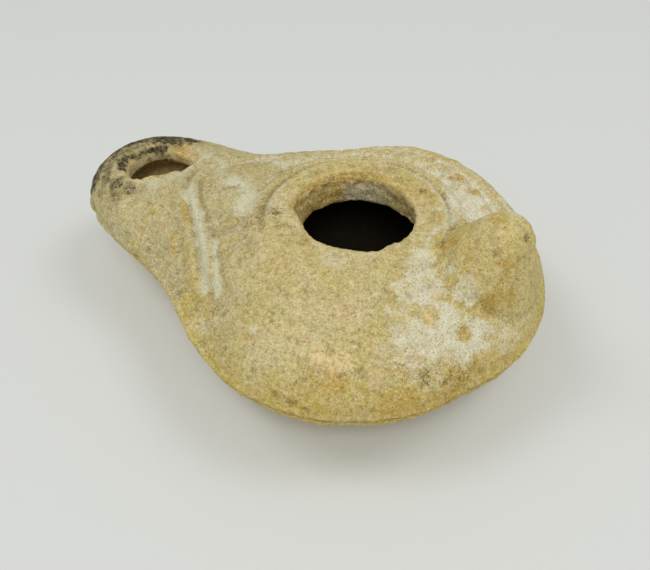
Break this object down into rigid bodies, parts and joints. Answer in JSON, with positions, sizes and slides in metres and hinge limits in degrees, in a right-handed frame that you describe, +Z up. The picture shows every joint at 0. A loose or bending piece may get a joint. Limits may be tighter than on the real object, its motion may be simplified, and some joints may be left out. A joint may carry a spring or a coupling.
{
  "type": "oil lamp",
  "caption": "Hand-sized mould-made clay oil lamp: hollow pear-shaped body, ringed filling hole, wick hole at the nozzle's end, leaf-moulded shoulder and upright tongue handle.",
  "frame": {"origin": "centre of the flat underside, on the axis of the filling hole", "axes": "+Z up along the filling hole's axis, +X towards the handle, so the nozzle points along -X"},
  "size_m": [0.0936, 0.0683, 0.035],
  "materials": {
    "fired_clay": "dry buff earthenware, worn and grainy, with chalky white deposit in the hollows and soot at the nozzle"
  },
  "bodies": {
    "root": {"lamp_body": "fired_clay"}
  },
  "joints": []
}
